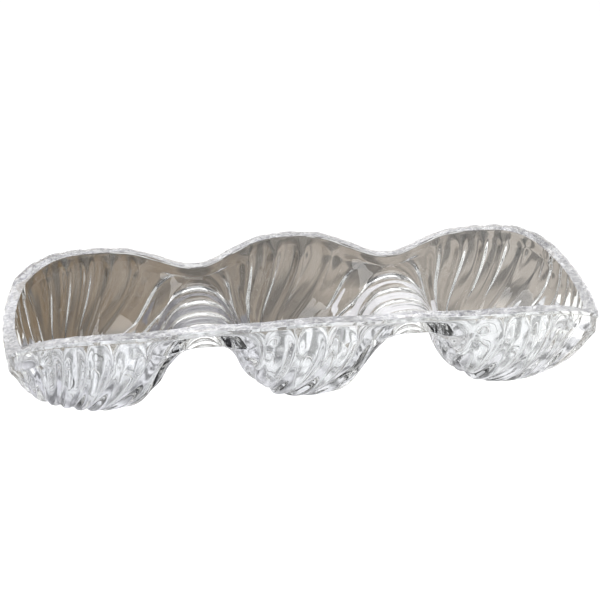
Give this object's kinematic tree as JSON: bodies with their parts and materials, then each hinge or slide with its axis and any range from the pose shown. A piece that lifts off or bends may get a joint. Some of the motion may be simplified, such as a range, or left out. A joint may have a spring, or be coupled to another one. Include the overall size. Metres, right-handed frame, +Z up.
{
  "type": "chip and dip server",
  "caption": "Clear pressed-glass chip and dip server: round swirl-fluted bowls in a row, joined by low arched saddles under one wavy rim.",
  "frame": {"origin": "on the resting plane, under the middle of the centre bowl (bottom centre of the bounding box)", "axes": "+X along the row of bowls, +Y across it, +Z up"},
  "size_m": [0.362, 0.12, 0.073],
  "materials": {
    "pressed_glass": "polished"
  },
  "bodies": {
    "root": {"rim": "pressed_glass", "left_bowl": "pressed_glass", "centre_bowl": "pressed_glass", "right_bowl": "pressed_glass", "left_saddle": "pressed_glass", "right_saddle": "pressed_glass", "left_foot": "pressed_glass", "centre_foot": "pressed_glass", "right_foot": "pressed_glass"}
  },
  "joints": []
}
